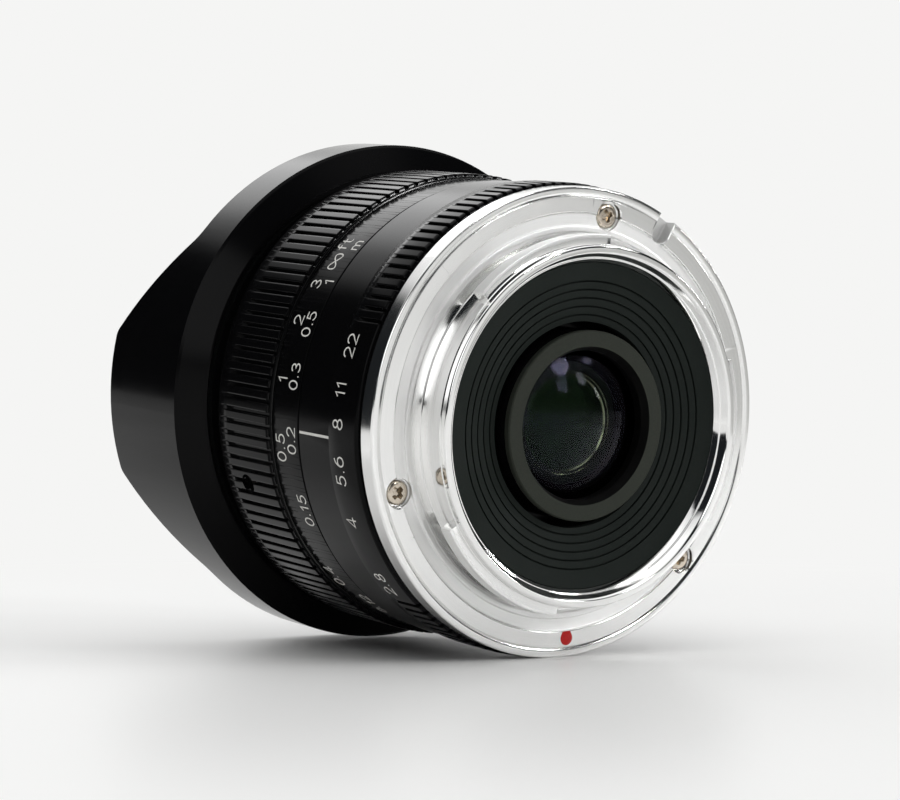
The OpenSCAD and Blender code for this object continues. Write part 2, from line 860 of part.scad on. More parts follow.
module iris_drive_ring() {
    tine = 1.2;
    color(brass)
    on_axis() {
        translate([0, 0, drive_y0])
            linear_extrude(height = drive_y1 - drive_y0)
                difference() {
                    circle(r = housing_r - fit);
                    circle(r = drive_in_r);
                    for (i = [0 : blade_count - 1])
                        rotate(360 / blade_count * i) cam_slot();
                }
        for (s = [-1, 1])
            rotate([0, 0, pin_angle])
                translate([drive_in_r + 0.2, s * (pin_r + fit + tine / 2) - tine / 2, drive_y1 - 0.2])
                    cube([1, tine, pin_y + pin_r + run_gap - drive_y1 + 0.2]);
    }
}

// Blade at rest in the layer that its number gives it
module iris_blade(i) {
    y = web_y + run_gap + blade_pitch * i;
    band_out_r = stop_open_r + blade_band;
    tip = 118;
    color(steel / 4)
    on_axis()
    rotate([0, 0, 360 / blade_count * i])
    translate([pivot_r, 0, 0])
    rotate([0, 0, blade_rest])
    translate([-pivot_r, 0, 0]) {
        sector(-6, tip, stop_open_r, band_out_r, y, y + blade_t);
        sector(-arm_angle - 4, 5, band_out_r - 0.3, pivot_r + 0.6, y, y + blade_t);
        translate([pivot_r, 0, 0]) rod(blade_pin_r, web_y - 0.7, y + blade_t / 2);
        rotate([0, 0, -arm_angle])
            translate([pivot_r, 0, 0]) rod(blade_pin_r, y + blade_t / 2, drive_y1 - 0.2);
    }
}

module iris_blade_1() {
    iris_blade(0);
}

module iris_blade_2() {
    iris_blade(1);
}

module iris_blade_3() {
    iris_blade(2);
}

module iris_blade_4() {
    iris_blade(3);
}

module iris_blade_5() {
    iris_blade(4);
}

module iris_blade_6() {
    iris_blade(5);
}

module iris_blade_7() {
    iris_blade(6);
}

main_barrel();
index_line();
mount_ring();
mount_index();
mount_screw_1();
mount_screw_2();
mount_screw_3();
rear_baffle();
aperture_retaining_ring();
focus_retaining_ring();
guide_key_1();
guide_key_2();
key_screw_1();
key_screw_2();
focus_ring();
dog_screw_1();
dog_screw_2();
dog_screw_3();
aperture_ring();
aperture_pin();
carriage();
hood();
front_retaining_ring();
front_element();
second_element();
third_element();
fourth_element();
fifth_element();
sixth_element();
front_spacer();
third_element_ring();
middle_spacer();
stop_spacer();
iris_snap_ring();
rear_cell();
seventh_element();
eighth_element();
ninth_element();
rear_element();
rear_retaining_ring();
iris_drive_ring();
iris_blade_1();
iris_blade_2();
iris_blade_3();
iris_blade_4();
iris_blade_5();
iris_blade_6();
iris_blade_7();
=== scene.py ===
import bpy
import bmesh
import json
import math
from mathutils import Matrix, Vector


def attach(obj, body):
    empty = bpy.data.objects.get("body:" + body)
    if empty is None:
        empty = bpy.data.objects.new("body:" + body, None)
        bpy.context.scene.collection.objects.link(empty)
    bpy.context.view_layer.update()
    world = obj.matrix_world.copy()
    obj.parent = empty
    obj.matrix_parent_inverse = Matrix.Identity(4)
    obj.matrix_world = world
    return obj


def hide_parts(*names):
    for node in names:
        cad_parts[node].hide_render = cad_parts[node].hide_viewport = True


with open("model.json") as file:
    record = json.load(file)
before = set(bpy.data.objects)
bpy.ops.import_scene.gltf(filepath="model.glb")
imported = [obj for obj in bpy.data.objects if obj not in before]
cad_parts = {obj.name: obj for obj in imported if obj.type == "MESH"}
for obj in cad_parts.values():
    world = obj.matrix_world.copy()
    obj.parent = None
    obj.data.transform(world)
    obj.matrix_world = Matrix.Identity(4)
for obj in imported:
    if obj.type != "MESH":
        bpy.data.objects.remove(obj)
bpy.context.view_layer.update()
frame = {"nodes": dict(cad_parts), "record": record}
nodes = frame["nodes"]
mm = 0.001
print("frame loaded:", len(nodes), "nodes")


# hex colour as picked on screen, turned to the linear values that shaders take
def linear(hexColour):
    parts = [int(hexColour[i:i + 2], 16) / 255 for i in (1, 3, 5)]
    parts = [c / 12.92 if c <= 0.04045 else ((c + 0.055) / 1.055) ** 2.4 for c in parts]
    return tuple(parts) + (1.0,)


# one node, with its settings, its socket values and its links (node, output)
def addNode(tree, kind, inputs=None, **settings):
    node = tree.nodes.new(kind)
    for key, value in settings.items():
        setattr(node, key, value)
    for key, value in (inputs or {}).items():
        if isinstance(value, tuple) and isinstance(value[0], bpy.types.Node):
            tree.links.new(value[0].outputs[value[1]], node.inputs[key])
        else:
            node.inputs[key].default_value = value
    return node


def newMaterial(name):
    material = bpy.data.materials.new(name)
    material.use_nodes = True
    material.node_tree.nodes.clear()
    return material, material.node_tree


# a point on a circle round the optical axis: angles run from the index line, about +Y
def around(radius, angle, y):
    a = math.radians(angle)
    return Vector((radius * math.cos(a), y, -radius * math.sin(a))) * mm


# camera, matched to the circles of the mount in the photograph
cameraView = {
    "place": (226.19, 300.12, 52.46),
    "right": (-0.81914, 0.57336, -0.01674),
    "up": (-0.08847, -0.09745, 0.99130),
    "lens": 128.0,
    "sensor": 36.0,
    "clip": (0.005, 20.0),  # metres
}
right = Vector(cameraView["right"]).normalized()
up = Vector(cameraView["up"])
up = (up - right * up.dot(right)).normalized()
back = right.cross(up)
cameraData = bpy.data.cameras.new("camera")
cameraData.lens = cameraView["lens"]
cameraData.sensor_width = cameraView["sensor"]
cameraData.sensor_fit = "HORIZONTAL"
cameraData.clip_start, cameraData.clip_end = cameraView["clip"]
camera = bpy.data.objects.new("camera", cameraData)
turn = Matrix((right, up, back)).transposed().to_4x4()
camera.matrix_world = Matrix.Translation(Vector(cameraView["place"]) * mm) @ turn
bpy.context.scene.collection.objects.link(camera)
bpy.context.scene.camera = camera
bpy.context.scene.view_settings.view_transform = "Standard"
print("camera placed")

# the lens lies on its hood and its mount flange, so the floor leans against the optical axis
floorSheet = {
    "normal": (-0.0885, -0.0932, 0.9917),
    "height": -27.96,
    "middle": (0, -22, 0),
    "radius": 205.0,
    "segments": 96,
    "fadeFrom": 80.0,
    "fadeTo": 200.0,
    "board": "#FAFAF9",
    "sheen": 0.34,
    "gloss": 0.5,
    "seen": "#F5F5F4",
}
floorUp = Vector(floorSheet["normal"]).normalized()
floorMesh = bpy.data.meshes.new("floor_sheet")
build = bmesh.new()
bmesh.ops.create_circle(build, cap_ends=True, radius=floorSheet["radius"] * mm,
                        segments=floorSheet["segments"])
build.to_mesh(floorMesh)
build.free()
floor = bpy.data.objects.new("floor_sheet", floorMesh)
foot = Vector(floorSheet["middle"])
foot = (foot + floorUp * (floorSheet["height"] - foot.dot(floorUp))) * mm
lean = floorUp.to_track_quat("Z", "Y").to_matrix().to_4x4()
floor.matrix_world = Matrix.Translation(foot) @ lean
bpy.context.scene.collection.objects.link(floor)

# satin laminated board: soft shadow and a blurred mirror image near the lens,
# the plain backdrop colour further out
board, tree = newMaterial("satin_white_laminate")
coords = addNode(tree, "ShaderNodeTexCoord")
away = addNode(tree, "ShaderNodeVectorMath", {0: (coords, "Object")}, operation="LENGTH")
fade = addNode(tree, "ShaderNodeMapRange", {
    "Value": (away, "Value"), "From Min": floorSheet["fadeFrom"] * mm,
    "From Max": floorSheet["fadeTo"] * mm}, interpolation_type="SMOOTHSTEP")
path = addNode(tree, "ShaderNodeLightPath")
seen = addNode(tree, "ShaderNodeMath", {0: (path, "Is Camera Ray"), 1: (path, "Is Glossy Ray")},
               operation="ADD")
seen = addNode(tree, "ShaderNodeMath", {0: (seen, "Value"), 1: (path, "Is Transmission Ray")},
               operation="ADD", use_clamp=True)
share = addNode(tree, "ShaderNodeMath", {0: (fade, "Result"), 1: (seen, "Value")},
                operation="MULTIPLY")
sheet = addNode(tree, "ShaderNodeBsdfPrincipled", {
    "Base Color": linear(floorSheet["board"]), "Roughness": floorSheet["sheen"],
    "Specular IOR Level": floorSheet["gloss"]})
glow = addNode(tree, "ShaderNodeEmission", {
    "Color": linear(floorSheet["seen"]), "Strength": 1.0})
mixed = addNode(tree, "ShaderNodeMixShader", {
    "Fac": (share, "Value"), 1: (sheet, "BSDF"), 2: (glow, "Emission")})
addNode(tree, "ShaderNodeOutputMaterial", {"Surface": (mixed, "Shader")})
floorMesh.materials.append(board)

# studio round the lens: a dim room with soft lights overhead and behind, a white backdrop,
# a white card above the camera, a pale table and three bright panes to the right.
# aim is right, up, away from the camera; edge is the cosine at the card's outer and inner rim
studioDim = "#1B1D1F"
studioCards = {
    "table": {"aim": (0.0, -1.0, 0.0), "edge": (0.03, 0.05), "colour": "#EDEDEC",
              "strength": 1.0},
    "grey_table": {"aim": (0.98, -0.12, -0.05), "edge": (0.967, 0.972), "colour": "#BEBEBC",
                   "strength": 1.0, "below": True},
    "backdrop": {"aim": (0.0, -0.30, 0.954), "edge": (0.64, 0.76), "colour": "#F5F5F4",
                 "strength": 1.0},
    "front_card": {"aim": (0.0, 0.30, -0.954), "edge": (0.945, 0.965), "colour": "#FFFFFF",
                   "strength": 1.6},
    "overhead": {"aim": (-0.086, 0.9925, 0.086), "edge": (0.62, 0.70), "colour": "#FFFFFF",
                 "strength": 0.85},
    "overhead_core": {"aim": (-0.086, 0.9925, 0.086), "edge": (0.68, 0.95), "colour": "#FFFFFF",
                      "strength": 1.4},
    "back_light": {"aim": (-0.24, 0.60, 0.76), "edge": (0.935, 0.99), "colour": "#FFFFFF",
                   "strength": 1.9},
    "pane_right": {"aim": (0.954, 0.233, 0.172), "edge": (0.9955, 0.9975), "colour": "#FFFFFF",
                   "strength": 60.0, "broken": True},
    "pane_middle": {"aim": (0.87, 0.38, -0.12), "edge": (0.9955, 0.9975), "colour": "#FFFFFF",
                    "strength": 60.0, "broken": True},
    "pane_left": {"aim": (0.80, 0.36, -0.48), "edge": (0.9945, 0.9970), "colour": "#FFFFFF",
                  "strength": 60.0, "broken": True},
}
leafLight = {"scale": 55.0, "detail": 3.0, "gap": (0.46, 0.60)}
world = bpy.data.worlds.new("white_studio")
world.use_nodes = True
bpy.context.scene.world = world
tree = world.node_tree
tree.nodes.clear()
coords = addNode(tree, "ShaderNodeTexCoord")
away = floorUp.cross(right).normalized()
level = away.cross(floorUp).normalized()
light = addNode(tree, "ShaderNodeBackground", {"Color": linear(studioDim), "Strength": 1.0})
output = "Background"
for card in studioCards.values():
    aim = level * card["aim"][0] + floorUp * card["aim"][1] + away * card["aim"][2]
    facing = addNode(tree, "ShaderNodeVectorMath", {
        0: (coords, "Generated"), 1: aim.normalized()}, operation="DOT_PRODUCT")
    inside = addNode(tree, "ShaderNodeMapRange", {
        "Value": (facing, "Value"), "From Min": card["edge"][0], "From Max": card["edge"][1]},
        interpolation_type="SMOOTHSTEP")
    if "below" in card:  # only the part under the horizon
        inside = addNode(tree, "ShaderNodeMath", {
            0: (inside, "Result"), 1: (studioCards["table"]["inside"], "Result")},
            operation="MULTIPLY")
    if "broken" in card:  # light that falls through leaves
        leaves = addNode(tree, "ShaderNodeTexNoise", {
            "Vector": (coords, "Generated"), "Scale": leafLight["scale"],
            "Detail": leafLight["detail"]})
        gaps = addNode(tree, "ShaderNodeMapRange", {
            "Value": (leaves, "Fac"), "From Min": leafLight["gap"][0],
            "From Max": leafLight["gap"][1]})
        inside = addNode(tree, "ShaderNodeMath", {
            0: (inside, "Result"), 1: (gaps, "Result")}, operation="MULTIPLY")
    glow = addNode(tree, "ShaderNodeBackground", {
        "Color": linear(card["colour"]), "Strength": card["strength"]})
    light = addNode(tree, "ShaderNodeMixShader", {
        "Fac": (inside, 0), 1: (light, output), 2: (glow, "Background")})
    output = "Shader"
    card["inside"] = inside
# the camera sees the plain backdrop all round, metal and glass see it where it stands
path = addNode(tree, "ShaderNodeLightPath")
mirrored = addNode(tree, "ShaderNodeMath", {
    0: (path, "Is Glossy Ray"), 1: (path, "Is Transmission Ray")},
    operation="ADD", use_clamp=True)
mirrored = addNode(tree, "ShaderNodeMath", {
    0: (mirrored, "Value"), 1: (studioCards["backdrop"]["inside"], "Result")},
    operation="MULTIPLY")
seen = addNode(tree, "ShaderNodeMath", {0: (path, "Is Camera Ray"), 1: (mirrored, "Value")},
               operation="ADD", use_clamp=True)
plain = addNode(tree, "ShaderNodeBackground", {
    "Color": linear(floorSheet["seen"]), "Strength": 1.0})
shown = addNode(tree, "ShaderNodeMixShader", {
    "Fac": (seen, "Value"), 1: (light, "Shader"), 2: (plain, "Background")})
addNode(tree, "ShaderNodeOutputWorld", {"Surface": (shown, "Shader")})
print("floor and studio ready")

# blasted, painted and anodised skins: an even grit of the given grain, two close colours,
# a roughness range. grains under about 0.12 mm are drawn coarser than they are, so that they show
grainFinishes = {
    "black_anodised_aluminium": {  # bead blasted, then dyed: deep black, a sheen at flat angles
        "colours": ("#060607", "#0B0B0C"), "rough": (0.13, 0.18), "grain": 0.14, "relief": 0.08,
        "level": 0.07, "sheen": 0.60, "ends": 0.0},
    "black_anodised_rings": {  # the same on the rings, whose end faces are turned bright first
        "colours": ("#060607", "#0B0B0C"), "rough": (0.13, 0.18), "grain": 0.14, "relief": 0.08,
        "level": 0.07, "sheen": 0.60, "ends": 0.9},
    "black_anodised_hood": {  # finer blasting than the rings: a smooth satin sheen
        "colours": ("#060607", "#0A0A0B"), "rough": (0.13, 0.17), "grain": 0.12, "relief": 0.06,
        "level": 0.07, "sheen": 0.65, "ends": 0.7},
    "matt_black_paint": {  # sprayed flat black with a green cast: no highlight, a dry grain
        "colours": ("#151A18", "#1E2320"), "rough": (0.65, 0.80), "grain": 0.20, "relief": 0.35,
        "level": 0.12},
    "blasted_dark_anodising": {  # coarser blasting: a grey veil over the black
        "colours": ("#272A26", "#343730"), "rough": (0.48, 0.60), "grain": 0.15, "relief": 0.35,
        "level": 0.10, "blackBelow": 9.4},
    "white_paint_fill": {  # paint wiped into engraved lines: flat white, slightly uneven
        "colours": ("#DEDDD8", "#EEEDE8"), "rough": (0.50, 0.62), "grain": 0.18, "relief": 0.15,
        "level": 0.50},
    "red_enamel": {  # a drop of stoving enamel: glossy, slightly domed
        "colours": ("#A00808", "#BC0C0C"), "rough": (0.08, 0.14), "grain": 0.40, "relief": 0.06,
        "level": 0.30},
    "black_oxide_steel": {  # chemically blackened: brown black with a dull shine
        "colours": ("#14130F", "#2A2620"), "rough": (0.35, 0.50), "grain": 0.25, "relief": 0.20,
        "level": 0.50},
}
# mm: size of the broad patches, height of the grit, width of the edge between black and bare;
# spread is the part of the noise that is used, slant and square are where the gloss sets in
# and where it is full
grainSkin = {"gritDetail": 2.0, "height": 0.012, "patch": 8, "patchDetail": 3.0,
             "spread": (0.3, 0.7), "edge": (-0.03, 0.02), "deadBlack": "#020202",
             "slant": (0.45, 0.85), "square": (0.95, 0.985)}
finishes = {}
for name, look in grainFinishes.items():
    finish, tree = newMaterial(name)
    coords = addNode(tree, "ShaderNodeTexCoord")
    fine = addNode(tree, "ShaderNodeTexNoise", {
        "Vector": (coords, "Object"), "Scale": 1 / (look["grain"] * mm),
        "Detail": grainSkin["gritDetail"]})
    broad = addNode(tree, "ShaderNodeTexNoise", {
        "Vector": (coords, "Object"), "Scale": 1 / (grainSkin["patch"] * mm),
        "Detail": grainSkin["patchDetail"]})
    rough = addNode(tree, "ShaderNodeMapRange", {
        "Value": (broad, "Fac"), "From Min": grainSkin["spread"][0],
        "From Max": grainSkin["spread"][1], "To Min": look["rough"][0],
        "To Max": look["rough"][1]})
    tint = addNode(tree, "ShaderNodeMix", {
        "Factor": (fine, "Fac"), 6: linear(look["colours"][0]), 7: linear(look["colours"][1])},
        data_type="RGBA")
    if "blackBelow" in look:  # inside this radius the bevel is painted dead black
        across = addNode(tree, "ShaderNodeVectorMath", {0: (coords, "Object"), 1: (1, 0, 1)},
                         operation="MULTIPLY")
        radius = addNode(tree, "ShaderNodeVectorMath", {0: (across, "Vector")},
                         operation="LENGTH")
        bare = addNode(tree, "ShaderNodeMapRange", {
            "Value": (radius, "Value"),
            "From Min": (look["blackBelow"] + grainSkin["edge"][0]) * mm,
            "From Max": (look["blackBelow"] + grainSkin["edge"][1]) * mm})
        tint = addNode(tree, "ShaderNodeMix", {
            "Factor": (bare, "Result"), 6: linear(grainSkin["deadBlack"]), 7: (tint, 2)},
            data_type="RGBA")
    bump = addNode(tree, "ShaderNodeBump", {
        "Strength": look["relief"], "Distance": grainSkin["height"] * mm, "Height": (fine, "Fac")})
    skin = addNode(tree, "ShaderNodeBsdfPrincipled", {
        "Base Color": (tint, 2), "Roughness": (rough, "Result"),
        "Specular IOR Level": look["level"], "Normal": (bump, "Normal")})
    if "sheen" in look:  # gloss grows towards flat angles, and on faces square to the axis
        slant = addNode(tree, "ShaderNodeLayerWeight", {"Blend": 0.5})
        flat = addNode(tree, "ShaderNodeMapRange", {
            "Value": (slant, "Facing"), "From Min": grainSkin["slant"][0],
            "From Max": grainSkin["slant"][1], "To Min": look["level"], "To Max": look["sheen"]})
        shape = addNode(tree, "ShaderNodeNewGeometry")
        sides = addNode(tree, "ShaderNodeSeparateXYZ", {"Vector": (shape, "Normal")})
        square = addNode(tree, "ShaderNodeMapRange", {
            "Value": (sides, "Y"), "From Min": grainSkin["square"][0],
            "From Max": grainSkin["square"][1], "To Min": 0.0, "To Max": look["ends"]})
        gloss = addNode(tree, "ShaderNodeMath", {0: (flat, "Result"), 1: (square, "Result")},
                        operation="ADD")
        tree.links.new(gloss.outputs["Value"], skin.inputs["Specular IOR Level"])
    addNode(tree, "ShaderNodeOutputMaterial", {"Surface": (skin, "BSDF")})
    finishes[name] = finish

# turned metals: tool lines run round the optical axis, on faces by radius and on walls by length.
# real tool lines are about 0.05 mm apart, and are drawn coarser here, so that they show
turnedFinishes = {
    "turned_chrome_plate": {  # fine turning under chrome: sharp reflections drawn round the axis
        "colours": ("#ECECEB", "#F6F6F5"), "rough": (0.04, 0.09), "pitch": 0.19, "relief": 0.08,
        "drawn": 0.35,
        "lapped": {"inner": 21.5, "rise": 1.3, "outer": 24.9, "fall": 0.1, "up": 0.36,
                   "down": 0.288}},
    "milled_chrome_plate": {  # faces left by a milling cutter: a dull grey shine
        "colours": ("#C9C9C8", "#DADAD9"), "rough": (0.42, 0.55), "pitch": 0.22, "relief": 0.15,
        "drawn": 0.0},
    "nickel_plated_steel": {  # screws, pins and bare edges: a warm grey shine with soft marks
        "colours": ("#B9AE9E", "#D8CFC2"), "rough": (0.14, 0.26), "pitch": 0.30, "relief": 0.10,
        "drawn": 0.0},
    "turned_brass": {  # bare turned brass: a yellow shine with tool lines
        "colours": ("#A88343", "#C09A56"), "rough": (0.22, 0.34), "pitch": 0.25, "relief": 0.15,
        "drawn": 0.3},
    "blackened_blade_steel": {  # thin rolled steel, blackened: dark grey and a little oily
        "colours": ("#232325", "#303033"), "rough": (0.34, 0.46), "pitch": 0.35, "relief": 0.06,
        "drawn": 0.2},
}
# mm: height of the lines, size of the broad patches; spread is the part of the noise that is
# used, and quarterTurn turns the stretch of the highlights by 90 degrees
turnedSkin = {"lineDetail": 2.0, "height": 0.01, "patch": 6, "patchDetail": 3.0,
              "spread": (0.7, 1.3), "quarterTurn": 0.25}
for name, look in turnedFinishes.items():
    finish, tree = newMaterial(name)
    coords = addNode(tree, "ShaderNodeTexCoord")
    flat = addNode(tree, "ShaderNodeVectorMath", {0: (coords, "Object"), 1: (1, 0, 1)},
                   operation="MULTIPLY")
    radius = addNode(tree, "ShaderNodeVectorMath", {0: (flat, "Vector")}, operation="LENGTH")
    parts = addNode(tree, "ShaderNodeSeparateXYZ", {"Vector": (coords, "Object")})
    track = addNode(tree, "ShaderNodeMath", {0: (radius, "Value"), 1: (parts, "Y")},
                    operation="ADD")
    lines = addNode(tree, "ShaderNodeTexNoise", {
        "W": (track, "Value"), "Scale": 1 / (look["pitch"] * mm),
        "Detail": turnedSkin["lineDetail"]}, noise_dimensions="1D")
    broad = addNode(tree, "ShaderNodeTexNoise", {
        "Vector": (coords, "Object"), "Scale": 1 / (turnedSkin["patch"] * mm),
        "Detail": turnedSkin["patchDetail"]})
    both = addNode(tree, "ShaderNodeMath", {0: (lines, "Fac"), 1: (broad, "Fac")},
                   operation="ADD")
    rough = addNode(tree, "ShaderNodeMapRange", {
        "Value": (both, "Value"), "From Min": turnedSkin["spread"][0],
        "From Max": turnedSkin["spread"][1], "To Min": look["rough"][0],
        "To Max": look["rough"][1]})
    if "lapped" in look:  # a softer sheen: roughness goes up past inner and down past outer
        lap = look["lapped"]
        rise = addNode(tree, "ShaderNodeMapRange", {
            "Value": (radius, "Value"), "From Min": lap["inner"] * mm,
            "From Max": (lap["inner"] + lap["rise"]) * mm, "To Min": 0.0, "To Max": lap["up"]})
        fall = addNode(tree, "ShaderNodeMapRange", {
            "Value": (radius, "Value"), "From Min": lap["outer"] * mm,
            "From Max": (lap["outer"] + lap["fall"]) * mm, "To Min": 0.0, "To Max": lap["down"]})
        lapped = addNode(tree, "ShaderNodeMath", {0: (rise, "Result"), 1: (fall, "Result")},
                         operation="SUBTRACT")
        rough = addNode(tree, "ShaderNodeMath", {0: (rough, "Result"), 1: (lapped, "Value")},
                        operation="ADD")
    tint = addNode(tree, "ShaderNodeMix", {
        "Factor": (lines, "Fac"), 6: linear(look["colours"][0]), 7: linear(look["colours"][1])},
        data_type="RGBA")
    bump = addNode(tree, "ShaderNodeBump", {
        "Strength": look["relief"], "Distance": turnedSkin["height"] * mm,
        "Height": (lines, "Fac")})
    along = addNode(tree, "ShaderNodeTangent", direction_type="RADIAL", axis="Y")
    skin = addNode(tree, "ShaderNodeBsdfPrincipled", {
        "Base Color": (tint, 2), "Roughness": (rough, 0), "Metallic": 1.0,
        "Anisotropic": look["drawn"], "Anisotropic Rotation": turnedSkin["quarterTurn"],
        "Normal": (bump, "Normal"), "Tangent": (along, "Tangent")})
    addNode(tree, "ShaderNodeOutputMaterial", {"Surface": (skin, "BSDF")})
    finishes[name] = finish

# optical glass with interference coatings: nearly black to look into, weak coloured reflections.
# a coating takes most of the gloss away, so the rear glasses have a lower index than bare glass
glassLooks = {
    "coated_front_glass": {  # the front group, with the index of real glass: a lilac gloss
        "tints": ("#DAE2DC", "#E4EAE4"), "reflected": "#3E3A66", "index": 1.62, "clear": 1.0},
    "black_coated_glass": {  # a strong coating: black, with faint lilac glints
        "tints": ("#DDE3DE", "#E6EBE6"), "reflected": "#8480A8", "index": 1.22, "clear": 1.0},
    "lilac_coated_glass": {  # a stronger lilac in fainter glints
        "tints": ("#DAE2DC", "#E4EAE4"), "reflected": "#A8A0D8", "index": 1.12, "clear": 1.0},
    "green_coated_glass": {  # the glasses deepest in the rear cell: a thin green veil
        "tints": ("#A4BE9C", "#B0C8A8"), "reflected": "#90A890", "index": 1.10, "clear": 0.95},
}
# mm; spread is the part of the noise that is used, rough is where the haze is thickest
glassHaze = {"patch": 3, "detail": 4.0, "spread": (0.55, 0.75), "rough": 0.02}
for name, look in glassLooks.items():
    finish, tree = newMaterial(name)
    coords = addNode(tree, "ShaderNodeTexCoord")
    haze = addNode(tree, "ShaderNodeTexNoise", {
        "Vector": (coords, "Object"), "Scale": 1 / (glassHaze["patch"] * mm),
        "Detail": glassHaze["detail"]})
    tint = addNode(tree, "ShaderNodeMix", {
        "Factor": (haze, "Fac"), 6: linear(look["tints"][0]), 7: linear(look["tints"][1])},
        data_type="RGBA")
    rough = addNode(tree, "ShaderNodeMapRange", {
        "Value": (haze, "Fac"), "From Min": glassHaze["spread"][0],
        "From Max": glassHaze["spread"][1], "To Min": 0.0, "To Max": glassHaze["rough"]})
    skin = addNode(tree, "ShaderNodeBsdfPrincipled", {
        "Base Color": (tint, 2), "IOR": look["index"], "Roughness": (rough, "Result"),
        "Transmission Weight": look["clear"], "Specular Tint": linear(look["reflected"])})
    addNode(tree, "ShaderNodeOutputMaterial", {"Surface": (skin, "BSDF")})
    finishes[name] = finish

slotFinish = {
    "black_anodised": "black_anodised_aluminium",
    "matt_black": "matt_black_paint",
    "rear_ring_black": "blasted_dark_anodising",
    "chrome_plate": "turned_chrome_plate",
    "red_enamel": "red_enamel",
    "white_fill": "white_paint_fill",
    "screw_steel": "nickel_plated_steel",
    "black_steel": "black_oxide_steel",
    "brass": "turned_brass",
    "blade_steel": "blackened_blade_steel",
    "coated_glass": "coated_front_glass",
}
ownFinish = {
    "hood": "black_anodised_hood",
    "rear_element": "black_coated_glass",
    "ninth_element": "lilac_coated_glass",
    "eighth_element": "green_coated_glass",
    "seventh_element": "green_coated_glass",
}
for part in frame["record"]["subparts"]:
    finish = finishes[ownFinish.get(part["node"], slotFinish[part["material_slot"]])]
    solid = nodes[part["node"]]
    if not solid.material_slots:
        solid.data.materials.append(finish)
    for place in solid.material_slots:
        place.material = finish
print("finishes set:", len(finishes))


# a finished mesh becomes a piece that moves with a body
def addPiece(name, build, finish, body, crease):
    mesh = bpy.data.meshes.new(name)
    bmesh.ops.recalc_face_normals(build, faces=build.faces)
    build.to_mesh(mesh)
    build.free()
    for face in mesh.polygons:
        face.use_smooth = True
    mesh.set_sharp_from_angle(angle=math.radians(crease))
    mesh.materials.append(finishes[finish])
    piece = bpy.data.objects.new(name, mesh)
    bpy.context.scene.collection.objects.link(piece)
    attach(piece, body)
    return piece


# skin over rows of points that each run round once: the stack closes on itself, or is capped
def addSkin(build, rows, looped):
    rows = [[build.verts.new(point) for point in row] for row in rows]
    for one, two in list(zip(rows, rows[1:])) + ([(rows[-1], rows[0])] if looped else []):
        for j in range(len(one)):
            k = (j + 1) % len(one)
            build.faces.new((one[j], one[k], two[k], two[j]))
    if not looped:
        build.faces.new(rows[0])
        build.faces.new(rows[-1])
    return build


# closed ring from stations along the axis: each is y and radius, and where the grooves of the
# ribs run through it, the least that they take off
def ringSolid(columns, stations):
    rows = []
    for y, radius, *least in stations:
        rows.append([around(radius - max(cut, least[0]) if least else radius, angle, y)
                     for angle, cut in columns])
    return addSkin(bmesh.new(), rows, True)


# rounds the corners of a closed outline: each is radius, y and the length taken off its sides
def softened(corners, steps=3, most=0.45):
    points = []
    for i, (radius, y, size) in enumerate(corners):
        here = Vector((radius, y))
        before = Vector(corners[i - 1][:2]) - here
        after = Vector(corners[(i + 1) % len(corners)][:2]) - here
        start = here + before.normalized() * min(size, before.length * most)
        end = here + after.normalized() * min(size, after.length * most)
        for k in range(steps + 1):
            t = k / steps
            points.append(start.lerp(here, t).lerp(here.lerp(end, t), t))
    return points


# plain ring of one outline, in columns of five degrees
def addRing(build, corners):
    rows = [[around(point.x, 5 * i, point.y) for i in range(72)] for point in softened(corners)]
    return addSkin(build, rows, True)


# one outline stacked at several heights: levels are y and how far the outline grows there
def addPillar(build, outline, levels, angle):
    outward, across = around(1, angle, 0), around(1, angle + 90, 0)
    rows = []
    for y, grow in levels:
        lift = Vector((0, y * mm, 0))
        rows.append([outward * u + across * w + lift for u, w in outline(grow)])
    return addSkin(build, rows, False)


# cuts a closed shape out of a piece
def cutAway(piece, cut):
    bmesh.ops.recalc_face_normals(cut, faces=cut.faces)
    mesh = bpy.data.meshes.new("cutter")
    cut.to_mesh(mesh)
    cut.free()
    tool = bpy.data.objects.new("cutter", mesh)
    bpy.context.scene.collection.objects.link(tool)
    step = piece.modifiers.new("cut", "BOOLEAN")
    step.operation = "DIFFERENCE"
    step.solver = "EXACT"
    step.object = tool
    bpy.context.view_layer.update()
    graph = bpy.context.evaluated_depsgraph_get()
    result = bpy.data.meshes.new_from_object(piece.evaluated_get(graph))
    piece.modifiers.clear()
    old = piece.data
    piece.data = result
    result.name = old.name + "_cut"
    bpy.data.meshes.remove(old)
    bpy.data.objects.remove(tool)
    bpy.data.meshes.remove(mesh)


# broad faces keep their own shading, and the small rounded edges between them take the turn
def evenShading(piece):
    even = piece.modifiers.new("even_shading", "WEIGHTED_NORMAL")
    even.keep_sharp = True


# grooves between the ribs, in mm; landShares are the columns on each rib, in parts of the pitch
groove = {"width": 0.46, "depth": 0.5, "soft": 0.06, "draft": 0.04,
          "landShares": (0.29, 0.43, 0.57, 0.71)}


# columns round the ring: across each groove and on each rib; smooth spans get plain columns
def ribColumns(radius, angles, pitch, smooth=()):
    turnPerMm = math.degrees(1 / radius)
    half = groove["width"] / 2
    profile = ((half + groove["soft"], 0.0), (half, groove["soft"]),
               (half - groove["draft"], groove["depth"]))
    columns = [(a, 0.0) for a in smooth]
    for a in angles:
        for across, cut in profile:
            columns += [(a - across * turnPerMm, cut), (a + across * turnPerMm, cut)]
        columns += [(a + pitch * share, 0.0) for share in groove["landShares"]]
    return sorted(columns)


